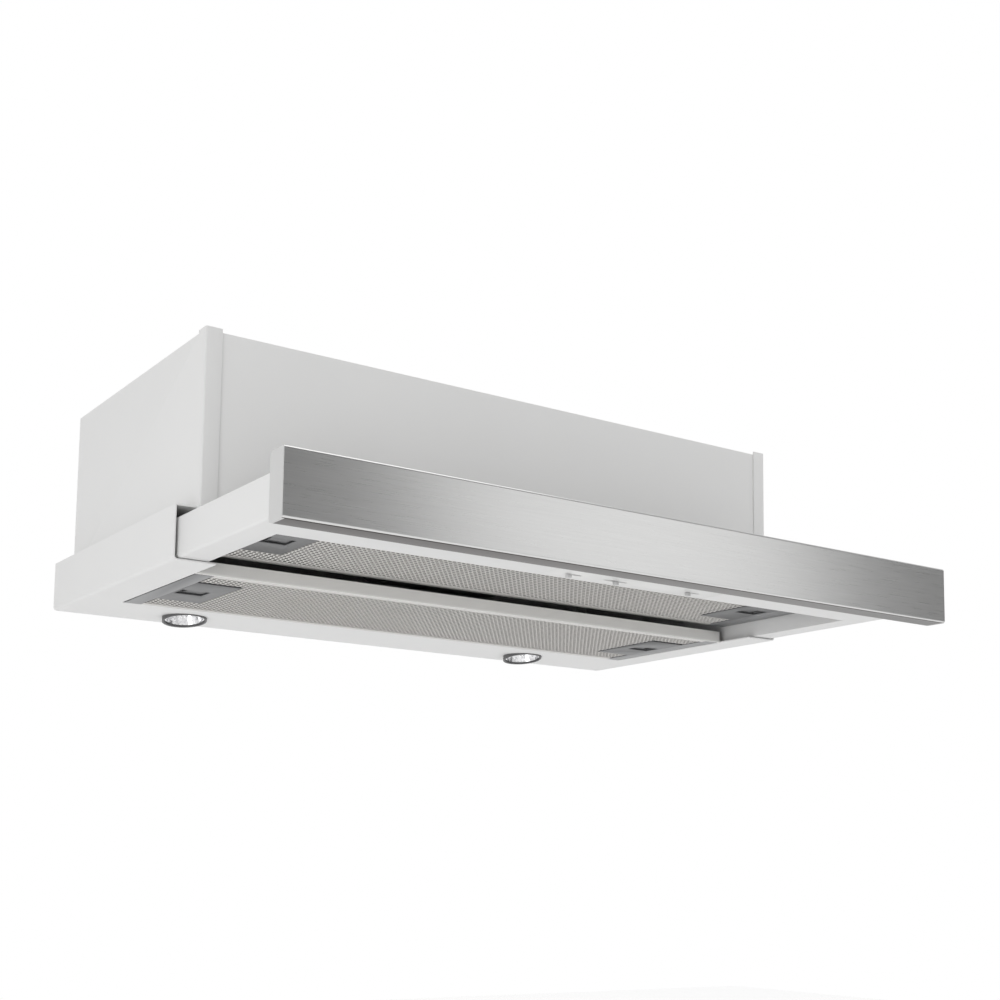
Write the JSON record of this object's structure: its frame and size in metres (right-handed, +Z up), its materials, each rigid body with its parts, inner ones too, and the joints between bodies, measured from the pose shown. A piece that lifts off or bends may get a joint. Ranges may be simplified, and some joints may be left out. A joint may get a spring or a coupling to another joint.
{
  "type": "pull-out range hood",
  "caption": "Pull-out range hood: white sheet-metal box and canopy, brushed steel fascia on a sliding drawer, mesh grease filters, halogen lamps and a blower with a round duct spigot.",
  "frame": {"origin": "middle of the four cabinet screws, on top of the ledge that the cabinet rests on", "axes": "+X to the right as seen from the room, +Y towards the wall, +Z up"},
  "size_m": [0.598, 0.449, 0.2012],
  "materials": {
    "white_paint": "smooth satin powder coat",
    "cap_paint": "satin",
    "brushed_steel": "brushed along its length",
    "filter_aluminium": "satin",
    "filter_mesh": "expanded mesh",
    "grip_plastic": "fine grain",
    "black_plastic": "fine grain",
    "white_plastic": "satin",
    "ceramic_white": "smooth",
    "galvanised_steel": "galvanised",
    "plated_steel": "zinc plated",
    "reflector": "faceted mirror"
  },
  "bodies": {
    "housing": {"canopy_frame": "white_paint", "filter_cross_bar": "filter_aluminium", "box_side_left": "white_paint", "box_side_right": "white_paint", "box_front_panel": "white_paint", "box_back_panel": "white_paint", "box_top_panel": "white_paint", "duct_spigot": "black_plastic", "damper_pin": "plated_steel", "blower_scroll": "galvanised_steel", "inlet_ring": "black_plastic", "motor_body": "galvanised_steel", "motor_bracket": "galvanised_steel", "capacitor": "ceramic_white", "lamp_transformer": "black_plastic", "terminal_box": "black_plastic", "terminal_box_lid": "black_plastic", "cable_gland": "black_plastic", "drawer_switch": "black_plastic", "rail_fixed_left": "galvanised_steel", "rail_fixed_right": "galvanised_steel", "lamp_ring_left": "black_plastic", "lamp_ring_right": "black_plastic", "lamp_reflector_left": "reflector", "lamp_reflector_right": "reflector", "lamp_holder_left": "ceramic_white", "lamp_holder_right": "ceramic_white", "fixed_filter_frame": "filter_aluminium", "fixed_filter_mesh": "filter_mesh", "fixed_filter_grip_left": "grip_plastic", "fixed_filter_grip_right": "grip_plastic", "top_screws": "plated_steel", "motor_screws": "plated_steel"},
    "drawer": {"rail_inner_left": "galvanised_steel", "rail_inner_right": "galvanised_steel", "drawer_filter_frame": "filter_aluminium", "drawer_filter_mesh": "filter_mesh", "drawer_filter_grip_left": "grip_plastic", "drawer_filter_grip_right": "grip_plastic", "drawer_tray": "white_paint", "fascia_panel": "brushed_steel", "fascia_cap_left": "cap_paint", "fascia_cap_right": "cap_paint", "control_plate": "white_plastic", "switch_box": "black_plastic", "fascia_screws": "plated_steel"},
    "runner_left": {"rail_middle_left": "galvanised_steel"},
    "runner_right": {"rail_middle_right": "galvanised_steel"},
    "rotor": {"impeller": "black_plastic", "motor_shaft": "plated_steel"},
    "damper_front": {"damper_flap_front": "black_plastic"},
    "damper_rear": {"damper_flap_rear": "black_plastic"},
    "switch_plunger": {"drawer_switch_plunger": "white_plastic"},
    "light_slider": {"light_knob": "grip_plastic"},
    "speed_slider": {"speed_knob": "grip_plastic"},
    "power_slider": {"power_knob": "grip_plastic"},
    "fixed_latch_left": {"fixed_filter_latch_left": "grip_plastic"},
    "fixed_latch_right": {"fixed_filter_latch_right": "grip_plastic"},
    "drawer_latch_left": {"drawer_filter_latch_left": "grip_plastic"},
    "drawer_latch_right": {"drawer_filter_latch_right": "grip_plastic"}
  },
  "joints": [
    {"name": "drawer_slide", "type": "slide", "parent": "housing", "child": "drawer", "axis": [0, 1, 0], "range_m": [0, 0.144]},
    {"name": "runner_left_slide", "type": "slide", "parent": "housing", "child": "runner_left", "axis": [0, 1, 0], "range_m": [0, 0.072]},
    {"name": "runner_right_slide", "type": "slide", "parent": "housing", "child": "runner_right", "axis": [0, 1, 0], "range_m": [0, 0.072]},
    {"name": "light_switch", "type": "slide", "parent": "drawer", "child": "light_slider", "axis": [1, 0, 0], "range_m": [0, 0.01]},
    {"name": "speed_switch", "type": "slide", "parent": "drawer", "child": "speed_slider", "axis": [1, 0, 0], "range_m": [-0.009, 0.009]},
    {"name": "power_switch", "type": "slide", "parent": "drawer", "child": "power_slider", "axis": [1, 0, 0], "range_m": [0, 0.01]},
    {"name": "fixed_latch_left_slide", "type": "slide", "parent": "housing", "child": "fixed_latch_left", "axis": [1, 0, 0], "range_m": [0, 0.0045], "stiffness_N_per_m": 400},
    {"name": "fixed_latch_right_slide", "type": "slide", "parent": "housing", "child": "fixed_latch_right", "axis": [-1, 0, 0], "range_m": [0, 0.0045], "stiffness_N_per_m": 400},
    {"name": "drawer_latch_left_slide", "type": "slide", "parent": "drawer", "child": "drawer_latch_left", "axis": [1, 0, 0], "range_m": [0, 0.0045], "stiffness_N_per_m": 400},
    {"name": "drawer_latch_right_slide", "type": "slide", "parent": "drawer", "child": "drawer_latch_right", "axis": [-1, 0, 0], "range_m": [0, 0.0045], "stiffness_N_per_m": 400},
    {"name": "drawer_switch_press", "type": "slide", "parent": "housing", "child": "switch_plunger", "axis": [0, 1, 0], "range_m": [0, 0.002], "stiffness_N_per_m": 250},
    {"name": "impeller_spin", "type": "hinge", "parent": "housing", "child": "rotor", "pos_m": [0, -0.019, 0.054], "axis": [1, 0, 0], "continuous": true},
    {"name": "damper_rear_hinge", "type": "hinge", "parent": "housing", "child": "damper_rear", "pos_m": [0, 0.015, 0.14], "axis": [1, 0, 0], "range_deg": [0, 75]},
    {"name": "damper_front_hinge", "type": "hinge", "parent": "housing", "child": "damper_front", "pos_m": [0, 0.015, 0.14], "axis": [1, 0, 0], "range_deg": [-75, 0]}
  ],
  "couplings": [
    {"joint": "runner_left_slide", "follows": "drawer_slide", "ratio": 0.5},
    {"joint": "runner_right_slide", "follows": "drawer_slide", "ratio": 0.5},
    {"joint": "damper_front_hinge", "follows": "damper_rear_hinge", "ratio": -1}
  ]
}
